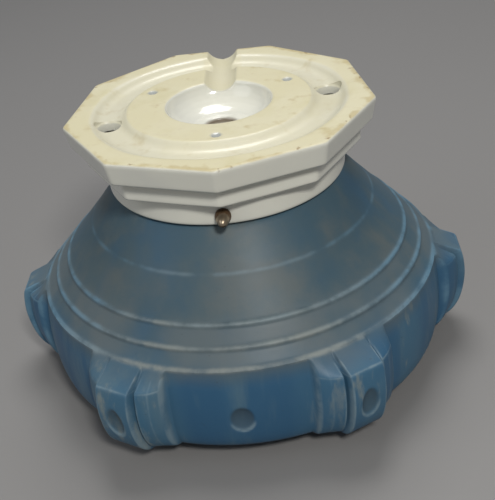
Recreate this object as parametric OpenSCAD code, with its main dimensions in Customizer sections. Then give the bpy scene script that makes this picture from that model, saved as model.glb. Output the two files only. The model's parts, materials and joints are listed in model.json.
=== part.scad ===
// Close ceiling light: a nine-sided porcelain shade holder, a pressed-glass bowl shade held by
// three bullet-headed screws, and a lampholder with its lamp inside.
// Millimetres, +Z up. The origin is the centre of the ceiling face. The holder's front corner
// points along -Y and its wire notch along +Y, and an azimuth counts anticlockwise from the front.

/* [Porcelain holder] */
// Radius to a corner of the slab, at the ceiling face
slab_r = 62.5; // [61.5:0.1:64]
// Radius to a corner at the slab's lower edge
slab_low_r = 60.4; // [59.5:0.1:61.5]
// Height of the slab
slab_h = 9.7; // [9.4:0.1:10.2]
// Radius to a corner where the hollow under the slab begins
cove_r = 57.8; // [57:0.1:58.5]
// Height of that hollow, down to the second step
cove_h = 4.2; // [3.8:0.1:4.6]
// Radius to a corner of the second step
step_r = 55.5; // [55:0.1:56.5]
// Height of the second step
step_h = 4.6; // [4.2:0.1:5]
// Outer radius of the round collar
collar_r = 48.3; // [48:0.1:49]
// Inner radius of the collar
collar_bore_r = 43.6; // [43.4:0.1:43.9]
// Height of the collar
collar_h = 10.7; // [10.5:0.1:11.2]

/* [Ceiling side] */
// Inner radius of the ring groove
groove_in_r = 37.4; // [37:0.1:38]
// Outer radius of the ring groove
groove_out_r = 50.2; // [49.8:0.1:50.6]
// Depth of the ring groove
groove_depth = 3; // [2.6:0.1:3.2]
// How far each groove wall leans in
groove_lean = 2.4; // [1.5:0.1:2.6]
// Depth of the wiring bowl
bowl_depth = 10; // [9.6:0.1:10.4]
// Radius of the wiring bowl's flat floor
bowl_floor_r = 9; // [8:0.1:9.5]
// Radius that rounds the wiring bowl's side
bowl_round_r = 12.3; // [12:0.1:12.6]
// Radius of the wire hole in the bowl's floor
wire_hole_r = 6.25; // [5.5:0.05:6.5]
// Width of the wire notch at the ceiling face
notch_w = 12.8; // [11.5:0.1:13.5]
// Depth of the wire notch
notch_depth = 4.2; // [4:0.1:4.4]
// Radius of each mounting hole
mount_hole_r = 4.85; // [4:0.05:5]
// Distance between the two mounting holes
mount_pcd = 88.8; // [88:0.1:89.2]
// Turn of the mounting holes away from the X axis, in degrees
mount_turn = 10; // [0:1:15]
// Radius of the circle of kiln marks
mark_circle_r = 32; // [31:0.1:33]

/* [Shade screws] */
// Number of shade screws, bushings and kiln marks
screw_count = 3; // [3]
// Depth of the screws below the ceiling
screw_depth = 25; // [24.8:0.1:25.2]
// Radius of a screw's shank
shank_r = 1.9; // [1.7:0.05:2]
// Radial clearance of the shank in its bushing
shank_clearance = 0.05; // [0.03:0.01:0.09]
// Outer radius of a bushing
bushing_r = 3; // [2.7:0.1:3.1]
// Radius of a screw's head at its foot
head_r = 3.05; // [2.8:0.05:3.1]
// Length of a screw's head
head_len = 7; // [6.6:0.1:7.6]
// Radius of the round nose of a head
nose_r = 1.9; // [1.7:0.1:2.1]

/* [Glass shade] */
// Outer radius of the neck's lip
neck_r = 41.2; // [41:0.1:41.4]
// Radius of the waist that the screws reach into
waist_r = 39.6; // [39.4:0.1:39.7]
// Inner radius of the neck
neck_bore_r = 36.6; // [36:0.1:36.8]
// Radius where the shoulder leaves the collar
shoulder_r = 47.6; // [47.2:0.1:48]
// Radius of the faint upper crease
crease_r = 58.6; // [58.2:0.1:59]
// Radii of the three ridge rings
ridge_r = [71.8, 77.7, 83.1];
// Height of a ridge ring's lower face
ridge_drop = 1; // [0.6:0.1:1.2]
// Greatest radius of the band
band_r = 84.9; // [84.6:0.1:85.2]
// Thickness of the glass in the bottom
glass_t = 4.4; // [4:0.1:4.6]
// Depth of the shade's lowest point below the ceiling
shade_depth = 115.2; // [115:0.1:116]

/* [Lugs] */
// Number of lugs round the band, with a round dimple between each two
lug_count = 6; // [6]
// Reach of a lug's face from the axis
lug_reach = 95.9; // [95.5:0.1:96.2]
// Half the width of a lug's middle block
block_half_w = 7.4; // [7:0.1:7.6]
// Gap between the middle block and each side rib
rib_gap = 0.8; // [0.6:0.1:1.2]
// Width of a side rib's flat face
rib_face_w = 4.6; // [4.2:0.1:4.9]
// Reach of a side rib's face from the axis, at its outer edge
rib_reach = 90.4; // [90:0.1:90.8]
// How much further the face reaches at its inner edge
rib_slope = 2.6; // [2.2:0.1:2.8]
// Half the height of a lug's oval dimple
oval_half_h = 7; // [6.5:0.1:7.5]
// Half the width of a lug's oval dimple
oval_half_w = 4.2; // [3.8:0.1:4.6]
// Radius of a round dimple's mouth
dimple_r = 5.3; // [4.8:0.1:5.6]
// Depth of a round dimple
dimple_depth = 1.9; // [1.5:0.1:2.1]

/* [Lampholder] */
// Radius of the socket body's flange
flange_r = 26; // [25.6:0.1:26.4]
// Height of the flange
flange_h = 5; // [4.8:0.1:5.2]
// Outer radius of the socket cup
cup_r = 18; // [17.6:0.1:18.2]
// Inner radius of the socket cup
cup_bore_r = 14.8; // [14.6:0.1:15]
// Depth of the cup's rim below the ceiling
cup_rim_depth = 48.6; // [48.2:0.1:49]
// Depth of the cup's floor below the ceiling
cup_floor_depth = 21.8; // [21.7:0.1:22]
// Width of the wiring channel across the socket body's back
channel_w = 5; // [4.8:0.1:5.4]
// Depth of that channel
channel_depth = 2.5; // [2.3:0.1:2.6]
// Distance of each socket screw from the axis
socket_screw_x = 21.8; // [21.6:0.1:22]
// Distance of each terminal screw from the axis
terminal_y = 21.8; // [21.6:0.1:22]
// Distance of each shell rivet from the axis
shell_rivet_r = 10.4; // [10.2:0.1:10.6]
// Thickness of the sheet brass
sheet_t = 0.5; // [0.4:0.05:0.6]
// Thickness of the terminal straps
strap_t = 0.8; // [0.7:0.05:0.9]

/* [Screw thread of the lamp] */
// Pitch of the thread
pitch = 3.6; // [3.6]
// Number of turns that are drawn, each as a closed ring
turns = 5; // [4:1:5]
// Radius of the lamp cap's thread crests
cap_crest_r = 13.1; // [12.9:0.1:13.2]
// Depth of the thread
thread_depth = 0.9; // [0.7:0.1:1]
// Radial gap between the lamp cap and the screw shell
cap_gap = 0.35; // [0.3:0.05:0.45]

/* [Lamp] */
// Radius of the glass bulb
bulb_r = 23.5; // [22:0.1:24]
// Depth of the bulb's centre below the ceiling
bulb_depth = 79; // [78:0.1:79.5]
// Radius of the bulb's neck
bulb_neck_r = 11.6; // [11.2:0.1:11.7]
// Thickness of the bulb's glass
bulb_t = 0.8; // [0.6:0.1:1]
// Radius of the filament's arc
filament_r = 8; // [7:0.1:9]

/* [Hidden] */
$fn = 96;

sides = 9;
over = 1;                                   // how far a cutter runs past a face
cove_z = -slab_h;
step_top_z = cove_z - cove_h;
step_low_z = step_top_z - step_h;
collar_low_z = step_low_z - collar_h;
web_z = -groove_depth - 3.8;                // underside of the web, over the cavity
boss_z = -bowl_depth - 4.8;                 // underside of the boss below the wiring bowl
boss_r = 26;
screw_step = 360 / screw_count;
lug_step = 360 / lug_count;

flange_low_z = boss_z - flange_h;
cup_rim_z = -cup_rim_depth;
cup_floor_z = -cup_floor_depth;
channel_z = boss_z - channel_depth;
strap_top_z = channel_z + strap_t;
plate_low_z = flange_low_z - strap_t;
strap_w = channel_w - 0.4;
plate_w = 6.4;
socket_screw_r = 1.6;
insert_r = 2.4;
insert_len = 4.2;
terminal_screw_r = 1.7;
terminal_pocket = 1.9;
contact_rivet_r = 1.5;
shell_rivet_shank_r = 1.2;
rivet_head_h = 0.8;
annulus_in_r = 8;

tip_z = cup_floor_z - 3.2;                  // top of the lamp's contact
tip_h = 1.2;
tip_r = 3.8;
insulator_z = tip_z - tip_h;
insulator_h = 3;
cap_top_z = insulator_z - insulator_h;
cap_bottom_z = cap_top_z - 21;
bulb_neck_z = cap_bottom_z + 1.5;
bulb_z = -bulb_depth;
stem_tip_z = bulb_z + 13;
filament_z = bulb_z + 1;

// Slope of the glass between the crease and the lowest ridge ring, and the z that it gives
shoulder_top_z = collar_low_z - 0.7;
crease_z = -43.9;
ridge_fall = 1.08;
function slope_z(r) = crease_z - (r - crease_r) * ridge_fall;

// Underside of the shade: a shallow bowl of revolution
underside_r = 80.5;
underside_rise = 7.4;
function underside_z(r) = -shade_depth + underside_rise * pow(r / underside_r, 2.4);
underside_radii = [for (i = [0:8]) underside_r * (8 - i) / 8];

// Turns a child that points along +X to an azimuth counted from the front
module at_azimuth(angle) {
    rotate([0, 0, angle - 90]) children();
}

// A nine-sided frustum with a corner at the front
module nonagon(top_z, top_r, low_z, low_r) {
    translate([0, 0, low_z])
        rotate([0, 0, -90])
            cylinder(h = top_z - low_z, r1 = low_r, r2 = top_r, $fn = sides);
}

// A tube or a solid of revolution from z0 up to z1
module tube(outer_r, inner_r, z0, z1) {
    translate([0, 0, z0])
        difference() {
            cylinder(h = z1 - z0, r = outer_r);
            translate([0, 0, -over])
                cylinder(h = z1 - z0 + 2 * over, r = inner_r);
        }
}

module rod(r, z0, z1) {
    translate([0, 0, z0])
        cylinder(h = z1 - z0, r = r);
}

// An outline in radius and height, drawn out to a width across the radius
module radial_slab(outline, width) {
    rotate([90, 0, 0])
        linear_extrude(height = width, center = true)
            polygon(outline);
}

// ---- Porcelain holder ----

module groove_cut() {
    rotate_extrude()
        polygon([
            [groove_in_r, 0],
            [groove_in_r, over],
            [groove_out_r, over],
            [groove_out_r, 0],
            [groove_out_r - groove_lean, -groove_depth],
            [groove_in_r + groove_lean, -groove_depth]
        ]);
}

module bowl_cut() {
    rotate_extrude()
        intersection() {
            translate([0, -bowl_depth])
                square([slab_r, bowl_depth + over]);
            union() {
                translate([bowl_floor_r, bowl_round_r - bowl_depth])
                    circle(r = bowl_round_r);
                translate([0, -bowl_depth])
                    square([bowl_floor_r, bowl_depth + over]);
            }
        }
}

// A round trough, as wide as notch_w at the ceiling face
module notch_cut() {
    arc_r = (pow(notch_w / 2, 2) + pow(notch_depth, 2)) / (2 * notch_depth);
    translate([0, 0, arc_r - notch_depth])
        rotate([-90, 0, 0])
            cylinder(h = slab_r + over, r = arc_r);
}

module cavity_cut() {
    rotate_extrude()
        polygon([
            [0, collar_low_z - over],
            [collar_bore_r, collar_low_z - over],
            [collar_bore_r, step_low_z - 1.5],
            [step_r * cos(180 / sides) - 4.2, step_low_z + 1.5],
            [step_r * cos(180 / sides) - 4, step_top_z + 1.6],
            [slab_low_r * cos(180 / sides) - 4.4, cove_z + 0.6],
            [slab_low_r * cos(180 / sides) - 5.6, web_z],
            [boss_r + 5, web_z],
            [boss_r + 2.5, web_z - 1.5],
            [boss_r, boss_z],
            [0, boss_z]
        ]);
}

module porcelain_holder() {
    mark_ball_r = 5;
    mark_sink = 0.6;
    color("ivory")
        difference() {
            union() {
                nonagon(0, slab_r, cove_z, slab_low_r);
                nonagon(cove_z, cove_r, step_top_z, step_r);
                nonagon(step_top_z, step_r, step_low_z, step_r);
                rod(collar_r, collar_low_z, step_low_z);
            }
            cavity_cut();
            groove_cut();
            bowl_cut();
            notch_cut();
            rod(wire_hole_r, boss_z - over, 0);
            for (side = [0, 180])
                rotate([0, 0, mount_turn + side])
                    translate([mount_pcd / 2, 0, web_z - over])
                        cylinder(h = -web_z + 2 * over, r = mount_hole_r);
            for (i = [0:screw_count - 1])
                at_azimuth(i * screw_step) {
                    translate([collar_bore_r - 2 * over, 0, -screw_depth])
                        rotate([0, 90, 0])
                            cylinder(h = collar_r - collar_bore_r + 4 * over, r = bushing_r);
                    translate([mark_circle_r, 0, mark_ball_r - mark_sink])
                        sphere(r = mark_ball_r);
                }
            for (side = [-1, 1])
                translate([side * socket_screw_x, 0, boss_z - over])
                    cylinder(h = insert_len + over, r = insert_r);
        }
}

module screw_bushings() {
    lip_r = bushing_r + 1;
    lip_out = collar_bore_r - 0.3;
    lip_t = 0.7;
    color("goldenrod")
        for (i = [0:screw_count - 1])
            at_azimuth(i * screw_step)
                translate([0, 0, -screw_depth])
                    rotate([0, 90, 0])
                        difference() {
                            union() {
                                rod(lip_r, lip_out - lip_t, lip_out);
                                rod(bushing_r, lip_out - lip_t, collar_r - 0.2);
                            }
                            rod(shank_r + shank_clearance, neck_r, collar_r + over);
                        }
}

// ---- Shade screws ----

module shade_screw(azimuth) {
    tip_r0 = waist_r + 0.4;
    point_len = 1.2;
    foot_r0 = collar_r + 0.3;
    foot_len = 1.2;
    color("saddlebrown")
        at_azimuth(azimuth)
            translate([0, 0, -screw_depth])
                rotate([0, 90, 0])
                    union() {
                        translate([0, 0, tip_r0])
                            cylinder(h = point_len, r1 = shank_r / 2, r2 = shank_r);
                        rod(shank_r, tip_r0 + point_len, foot_r0);
                        rod(head_r, foot_r0, foot_r0 + foot_len);
                        translate([0, 0, foot_r0 + foot_len])
                            cylinder(
                                h = head_len - foot_len - nose_r, r1 = head_r - 0.1, r2 = nose_r
                            );
                        translate([0, 0, foot_r0 + head_len - nose_r])
                            sphere(r = nose_r);
                    }
}

module shade_screw_front() {
    shade_screw(0);
}

module shade_screw_right() {
    shade_screw(screw_step);
}

module shade_screw_left() {
    shade_screw(2 * screw_step);
}

// ---- Glass shade ----

// Outside of the glass, from the neck's top edge down to the middle of the underside
outer_outline = concat(
    [
        [neck_r, -19.6],
        [neck_r, -22.6],
        [waist_r, -23.6],
        [waist_r, -26.4],
        [neck_r, -27.6],
        [neck_r + 1.4, shoulder_top_z],
        [shoulder_r - 1, shoulder_top_z - 0.1],
        [shoulder_r, shoulder_top_z - 0.6],
        [crease_r, crease_z]
    ],
    [
        for (r = ridge_r)
            each [
                [r - 0.7, slope_z(r) + 0.9],
                [r, slope_z(r) + 0.35],
                [r + 0.15, slope_z(r) - ridge_drop]
            ]
    ],
    [
        [band_r - 0.8, -76],
        [band_r, -84],
        [band_r, -90],
        [band_r - 0.4, -97],
        [band_r - 1, -102],
        [band_r - 2.2, -105.4]
    ],
    [for (r = underside_radii) [r, underside_z(r)]]
);

// Inside of the glass, from the middle of the bottom back up to the neck's top edge
inner_outline = concat(
    [
        for (i = [0:7])
            let (r = (underside_r - 5) * i / 7)
                [r, underside_z(r) + glass_t]
    ],
    [
        [79, -101.6],
        [80.4, -96],
        [80.6, -88],
        [80.2, -78],
        [78.4, -72.2],
        [53.6, -46],
        [43.4, -33],
        [38.2, -29.2],
        [neck_bore_r, -26.8],
        [neck_bore_r, -19.6]
    ]
);

module lug_block() {
    radial_slab(
        [
            [81, -72],
            [82.6, -70.6],
            [lug_reach - 2.2, -75.4],
            [lug_reach - 1, -78],
            [lug_reach - 0.2, -82],
            [lug_reach, -86],
            [lug_reach - 0.3, -91],
            [lug_reach - 1.3, -96.5],
            [lug_reach - 3, -101.3],
            [lug_reach - 5.7, -105.4],
            [lug_reach - 9.4, -108.2],
            [80, -109.2],
            [76, -109],
            [76, -107],
            [81, -103]
        ],
        2 * block_half_w
    );
}

// One pair of ribs: an outline in radius and height, met by a plan that slopes the outer sides
module lug_ribs() {
    inner_u = block_half_w + rib_gap;
    outer_u = inner_u + rib_face_w;
    foot_u = outer_u + 4.6;
    crest = rib_reach + rib_slope;
    intersection() {
        radial_slab(
            [
                [81, -73],
                [82.4, -71],
                [crest - 1.4, -76.4],
                [crest - 0.3, -80],
                [crest, -86],
                [crest - 0.4, -92],
                [crest - 1.6, -98],
                [crest - 3.8, -103],
                [crest - 7.4, -106.8],
                [80, -108],
                [78, -106.4],
                [81, -102]
            ],
            2 * foot_u
        );
        translate([0, 0, -shade_depth])
            linear_extrude(height = shade_depth)
                for (side = [-1, 1])
                    polygon([
                        [72, side * inner_u],
                        [crest, side * inner_u],
                        [rib_reach, side * outer_u],
                        [rib_reach - 3.2, side * (foot_u - 1)],
                        [band_r - 1.8, side * foot_u],
                        [72, side * foot_u]
                    ]);
    }
}

// A lens of revolution on a vertical axis, which leaves an oval dimple in a lug's face
module oval_cutter() {
    arc_r = (pow(oval_half_w, 2) + pow(oval_half_h, 2)) / (2 * oval_half_w);
    rotate_extrude()
        intersection() {
            translate([oval_half_w - arc_r, 0])
                circle(r = arc_r);
            translate([0, -oval_half_h])
                square([oval_half_w, 2 * oval_half_h]);
        }
}

module glass_shade() {
    oval_stand_off = 2;
    oval_z = -90;
    dimple_z = -91.6;
    ball_r = (pow(dimple_r, 2) + pow(dimple_depth, 2)) / (2 * dimple_depth);
    color("steelblue")
        difference() {
            union() {
                rotate_extrude()
                    polygon(concat(outer_outline, inner_outline));
                for (i = [0:lug_count - 1])
                    at_azimuth((i + 0.5) * lug_step) {
                        lug_block();
                        lug_ribs();
                    }
            }
            for (i = [0:lug_count - 1]) {
                at_azimuth((i + 0.5) * lug_step)
                    translate([lug_reach + oval_stand_off, 0, oval_z])
                        oval_cutter();
                at_azimuth(i * lug_step)
                    translate([band_r - dimple_depth + ball_r, 0, dimple_z])
                        sphere(r = ball_r);
            }
        }
}

// ---- Lampholder ----

// Puts its children at each of the three shell rivets
module at_shell_rivets() {
    for (angle = [90, 210, 330])
        rotate([0, 0, angle])
            translate([shell_rivet_r, 0, 0])
                children();
}

module socket_body() {
    rivet_pocket_r = 2.6;
    color("wheat")
        difference() {
            union() {
                rod(flange_r, flange_low_z, boss_z);
                rod(cup_r, cup_rim_z, flange_low_z);
            }
            rod(cup_bore_r, cup_rim_z - over, cup_floor_z);
            rod(contact_rivet_r, cup_floor_z - over, boss_z);
            translate([-channel_w / 2, -flange_r - over, channel_z])
                cube([channel_w, 2 * (flange_r + over), channel_depth + over]);
            at_shell_rivets() {
                rod(shell_rivet_shank_r, cup_floor_z - over, boss_z);
                rod(rivet_pocket_r, strap_top_z, boss_z + over);
            }
            for (side = [-1, 1]) {
                translate([side * socket_screw_x, 0, 0])
                    rod(socket_screw_r + 0.3, flange_low_z - over, boss_z + over);
                translate([0, side * terminal_y, 0])
                    rod(terminal_screw_r + 0.3, flange_low_z - over, flange_low_z + terminal_pocket);
            }
        }
}

module socket_inserts() {
    color("goldenrod")
        for (side = [-1, 1])
            translate([side * socket_screw_x, 0, 0])
                tube(insert_r, socket_screw_r, boss_z, boss_z + insert_len);
}

module socket_screws() {
    head_h = 2;
    slot_w = 0.8;
    color("silver")
        for (side = [-1, 1])
            translate([side * socket_screw_x, 0, 0])
                difference() {
                    union() {
                        rod(socket_screw_r, flange_low_z, boss_z + insert_len - 0.4);
                        rod(3, flange_low_z - head_h, flange_low_z);
                    }
                    translate([-4, -slot_w / 2, flange_low_z - head_h - over])
                        cube([8, slot_w, over + 0.9]);
                }
}

// Outline of a rolled thread: closed rings of one pitch, out to crest_r, down from top_z
function thread_side(crest_r, top_z) = [
    for (i = [0:turns - 1])
        each [
            [crest_r - thread_depth, top_z - i * pitch],
            [crest_r - thread_depth * 0.2, top_z - (i + 0.3) * pitch],
            [crest_r, top_z - (i + 0.5) * pitch],
            [crest_r - thread_depth * 0.2, top_z - (i + 0.7) * pitch]
        ]
];

thread_top_z = cap_top_z - 0.6;
thread_low_z = thread_top_z - turns * pitch;

function shift_r(points, step) = [for (p = points) [p[0] + step, p[1]]];
function backwards(points) = [for (i = [len(points) - 1:-1:0]) points[i]];

module screw_shell() {
    bore = concat(
        [[cap_crest_r + cap_gap, cup_floor_z - sheet_t]],
        shift_r(thread_side(cap_crest_r, thread_top_z), cap_gap),
        [
            [cap_crest_r - thread_depth + cap_gap, thread_low_z]
        ]
    );
    color("darkgoldenrod")
        difference() {
            rotate_extrude()
                polygon(concat(
                    [[annulus_in_r, cup_floor_z]],
                    [[annulus_in_r, cup_floor_z - sheet_t]],
                    bore,
                    [[cap_crest_r - thread_depth + cap_gap + sheet_t, thread_low_z]],
                    backwards(shift_r(bore, sheet_t))
                ));
            at_shell_rivets()
                rod(shell_rivet_shank_r, cup_floor_z - over, cup_floor_z + over);
        }
}

module shell_rivets() {
    head_r0 = 2;
    color("peru")
        at_shell_rivets() {
            rod(head_r0, strap_top_z, strap_top_z + rivet_head_h);
            rod(shell_rivet_shank_r, cup_floor_z - sheet_t, strap_top_z);
            rod(head_r0, cup_floor_z - sheet_t - rivet_head_h, cup_floor_z - sheet_t);
        }
}

module centre_contact() {
    leaf_w = 5;
    leaf_t = 0.4;
    color("gold")
        translate([0, 0, cup_floor_z])
            difference() {
                radial_slab(
                    [
                        [-3.2, 0],
                        [6.4, 0],
                        [6.9, -0.5],
                        [0.8, -2.9],
                        [-2.4, -2.7],
                        [-2.4, -2.3],
                        [0.7, -2.5],
                        [6, -leaf_t],
                        [-3.2, -leaf_t]
                    ],
                    leaf_w
                );
                rod(contact_rivet_r, -2 * leaf_t, over);
            }
}

module contact_rivet() {
    head_r0 = 2.2;
    leaf_t = 0.4;
    color("peru") {
        rod(head_r0, strap_top_z, strap_top_z + rivet_head_h);
        rod(contact_rivet_r, cup_floor_z - leaf_t, strap_top_z);
        rod(head_r0, cup_floor_z - leaf_t - rivet_head_h, cup_floor_z - leaf_t);
    }
}

// A strap that hooks round the flange, from a plate under it to end_y on the channel's floor
module terminal_strap(end_y, rivet_y, rivet_r) {
    edge_y = flange_r + 0.1;
    difference() {
        union() {
            translate([-plate_w / 2, cup_r + 0.4, plate_low_z])
                cube([plate_w, edge_y - cup_r - 0.4, strap_t]);
            translate([-strap_w / 2, edge_y, plate_low_z])
                cube([strap_w, strap_t, strap_top_z - plate_low_z]);
            translate([-strap_w / 2, end_y, channel_z])
                cube([strap_w, edge_y - end_y, strap_t]);
        }
        translate([0, terminal_y, 0])
            rod(terminal_screw_r, plate_low_z - over, flange_low_z + over / 2);
        translate([0, rivet_y, 0])
            rod(rivet_r, channel_z - over, strap_top_z + over);
    }
}

module live_terminal() {
    color("gold")
        rotate([0, 0, 180])
            terminal_strap(-2.6, 0, contact_rivet_r);
}

module shell_terminal() {
    color("silver")
        terminal_strap(shell_rivet_r - 3, shell_rivet_r, shell_rivet_shank_r);
}

module terminal_screw(side) {
    head_h = 1.8;
    slot_w = 0.8;
    translate([0, side * terminal_y, 0])
        difference() {
            union() {
                rod(terminal_screw_r, plate_low_z, flange_low_z + terminal_pocket - 0.2);
                rod(2.7, plate_low_z - head_h, plate_low_z);
            }
            translate([-4, -slot_w / 2, plate_low_z - head_h - over])
                cube([8, slot_w, over + 0.8]);
        }
}

module live_terminal_screw() {
    color("gold")
        terminal_screw(-1);
}

module shell_terminal_screw() {
    color("silver")
        terminal_screw(1);
}

// ---- Lamp ----

module lamp_tip() {
    color("silver")
        rod(tip_r, insulator_z, tip_z);
}

module lamp_insulator() {
    color("black")
        translate([0, 0, cap_top_z])
            cylinder(h = insulator_h, r1 = cap_crest_r - thread_depth - sheet_t - 0.4, r2 = tip_r + 1.4);
}

module lamp_cap() {
    outside = concat(
        [[tip_r + 6, cap_top_z]],
        thread_side(cap_crest_r, thread_top_z),
        [
            [cap_crest_r - thread_depth, thread_low_z],
            [bulb_neck_r + sheet_t, cap_bottom_z]
        ]
    );
    color("goldenrod")
        rotate_extrude()
            polygon(concat(
                outside,
                [
                    [bulb_neck_r, cap_bottom_z],
                    [bulb_neck_r, bulb_neck_z],
                    [bulb_neck_r - sheet_t, bulb_neck_z + 1],
                    [bulb_neck_r - sheet_t, cap_top_z - 2],
                    [tip_r + 6, cap_top_z - sheet_t]
                ]
            ));
}

// Outline of the bulb, taken in by a distance all round
module bulb_outline(inset) {
    join_angle = 38;
    join_r = bulb_r - inset;
    intersection() {
        union() {
            translate([0, bulb_z])
                circle(r = join_r);
            polygon([
                [0, bulb_z],
                [join_r * cos(join_angle), bulb_z + join_r * sin(join_angle)],
                [bulb_neck_r - inset, bulb_neck_z - 6],
                [bulb_neck_r - inset, bulb_neck_z - inset],
                [0, bulb_neck_z - inset]
            ]);
        }
        translate([0, bulb_z - bulb_r])
            square([bulb_r, 2 * bulb_r + bulb_depth]);
    }
}

module lamp_bulb() {
    color("whitesmoke")
        rotate_extrude()
            difference() {
                bulb_outline(0);
                bulb_outline(bulb_t);
            }
}

module lamp_stem() {
    color("lightcyan")
        rotate_extrude()
            polygon([
                [0, stem_tip_z],
                [2.6, stem_tip_z],
                [2.2, stem_tip_z + 3],
                [3, bulb_neck_z - 8],
                [9, bulb_neck_z - 3],
                [9, bulb_neck_z - bulb_t],
                [0, bulb_neck_z - bulb_t]
            ]);
}

// A straight wire down from the stem's tip, from x0 to x1, whose sloping end just meets the tip
module wire(x0, x1, r) {
    drop = filament_z - stem_tip_z;
    seat = r * abs(x1 - x0) / norm([x1 - x0, drop]) + 0.02;
    translate([x0, 0, stem_tip_z - seat])
        rotate([0, atan2(x1 - x0, drop + seat), 0])
            cylinder(h = norm([x1 - x0, drop + seat]), r = r);
}

module lamp_leads() {
    lead_r = 0.35;
    color("silver")
        for (side = [-1, 1])
            wire(side * 1.8, side * filament_r, lead_r);
}

module lamp_supports() {
    support_r = 0.25;
    color("gray")
        for (angle = [60, 120])
            rotate([0, 0, angle])
                wire(1.2, filament_r, support_r);
}

module lamp_filament() {
    color("dimgray")
        translate([0, 0, filament_z - 0.3])
            rotate_extrude(angle = 180)
                translate([filament_r, 0])
                    circle(r = 0.25, $fn = 16);
}

porcelain_holder();
screw_bushings();
shade_screw_front();
shade_screw_right();
shade_screw_left();
glass_shade();
socket_body();
socket_inserts();
socket_screws();
screw_shell();
shell_rivets();
centre_contact();
contact_rivet();
live_terminal();
shell_terminal();
live_terminal_screw();
shell_terminal_screw();
lamp_tip();
lamp_insulator();
lamp_cap();
lamp_bulb();
lamp_stem();
lamp_leads();
lamp_supports();
lamp_filament();
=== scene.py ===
import json
import math

import bmesh
import bpy
import numpy as np
from mathutils import Matrix, Vector


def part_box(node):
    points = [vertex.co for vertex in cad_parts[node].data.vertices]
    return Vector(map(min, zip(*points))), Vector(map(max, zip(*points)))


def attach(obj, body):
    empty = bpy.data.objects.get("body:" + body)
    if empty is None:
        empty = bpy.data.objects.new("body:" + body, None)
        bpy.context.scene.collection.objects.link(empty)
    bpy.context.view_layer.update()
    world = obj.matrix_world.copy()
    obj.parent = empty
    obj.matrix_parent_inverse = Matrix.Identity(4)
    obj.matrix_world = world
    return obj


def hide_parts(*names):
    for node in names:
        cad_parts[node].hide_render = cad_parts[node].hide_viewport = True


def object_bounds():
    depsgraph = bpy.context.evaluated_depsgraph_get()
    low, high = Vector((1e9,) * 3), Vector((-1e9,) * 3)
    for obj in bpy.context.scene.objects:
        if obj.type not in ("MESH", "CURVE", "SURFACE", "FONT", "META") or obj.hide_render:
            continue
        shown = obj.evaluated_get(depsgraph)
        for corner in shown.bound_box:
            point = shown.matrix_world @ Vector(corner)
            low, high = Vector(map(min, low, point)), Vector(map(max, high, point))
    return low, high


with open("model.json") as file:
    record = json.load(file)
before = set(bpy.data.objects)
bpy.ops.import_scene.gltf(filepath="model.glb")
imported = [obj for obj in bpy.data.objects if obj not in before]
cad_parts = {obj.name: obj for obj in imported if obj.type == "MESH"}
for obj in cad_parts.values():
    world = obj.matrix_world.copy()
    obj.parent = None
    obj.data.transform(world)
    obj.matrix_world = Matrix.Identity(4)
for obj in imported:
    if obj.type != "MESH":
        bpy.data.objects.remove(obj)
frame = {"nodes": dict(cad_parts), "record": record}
cad_low, cad_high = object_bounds()
record = frame["record"]
nodes = frame["nodes"]

# The pieces' lengths are in millimetres, in the part's own frame, and MM takes them to metres.
# The finishes, the floor, the lights and the camera are in metres.
MM = 0.001

holder_low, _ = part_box("porcelain_holder")
shade_low, shade_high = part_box("glass_shade")
HOLDER_BOTTOM = holder_low.z / MM
SHADE_BOTTOM = shade_low.z / MM
NECK_TOP = shade_high.z / MM
LUG_REACH = shade_high.x / MM

# Holder
SIDES = 9
CORNER_ROUND = 3.2
SLAB_FLAT = -holder_low.y / MM * math.cos(math.pi / SIDES)
SLAB_LOW_FLAT = SLAB_FLAT - 2.0
STEP_FLAT = 52.15
COLLAR_R = 48.3
COLLAR_BORE_R = 43.6
SLAB_Z = -9.7
STEP_TOP_Z = -13.9
STEP_LOW_Z = -18.5
WEB_Z = -6.8
BOSS_Z = -14.8
BOSS_R = 26.0
GROOVE_IN_R = 37.4
GROOVE_OUT_R = 50.2
GROOVE_Z = -3.0
BOWL_Z = -10.0
BOWL_FLOOR_R = 9.0
BOWL_ROUND_R = 12.3
BOWL_RIM_R = 21.1
WIRE_HOLE_R = 6.25
NOTCH_AZIMUTH = 180
NOTCH_HALF_W = 6.4
NOTCH_Z = -4.2
NOTCH_SOFTNESS = 0.6
NOTCH_FADE_FROM = 7.0
NOTCH_FADE_TO = 8.6
MOUNT_HOLE_R = 4.85
MOUNT_CIRCLE_R = 44.4
MOUNT_TURN = 100.0
MARK_CIRCLE_R = 32.0
MARK_R = 2.3
MARK_DEPTH = 0.55
HOLE_LIP = 1.0

# Shade screws
SCREW_Z = -25.0
SCREW_AZIMUTHS = {"front": 0.0, "right": 120.0, "left": 240.0}
BUSHING_R = 3.0
BUSHING_FROM_R = 40
BUSHING_TO_R = 52
HEAD_LEN = 7.0

# Shade
BAND_R = 84.9
RIDGES = ((71.8, -58.16), (77.7, -64.53), (83.1, -70.36))
LUG_AZIMUTHS = (30.0, 90.0, 150.0, 210.0, 270.0, 330.0)
LUG_ZONE = 18.5
BLOCK_HALF_W = 7.3
RIB_INNER_U = 8.25
RIB_OUTER_U = 12.8
RIB_FOOT_U = 17.3
RIB_SLOPE = 2.5
RIB_BEND_U = 16.3
SLIT_HALF_W = 0.42
SLIT_DEPTH = 0.45
OVAL_Z = -90.0
OVAL_HALF_W = 3.9
OVAL_HALF_H = 6.8
OVAL_DEPTH = 2.1
DIMPLE_AZIMUTHS = (0.0, 120.0, 240.0)
DIMPLE_Z = -91.6
DIMPLE_HALF_W = 4.8
DIMPLE_HALF_H = 5.7
DIMPLE_DEPTH = 1.9
DIMPLE_ZONE = 6.6
INSIDE_CORNER_R = 80.5
UNDER_RISE = 7.4


# ---- Curves and grids ----


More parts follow.
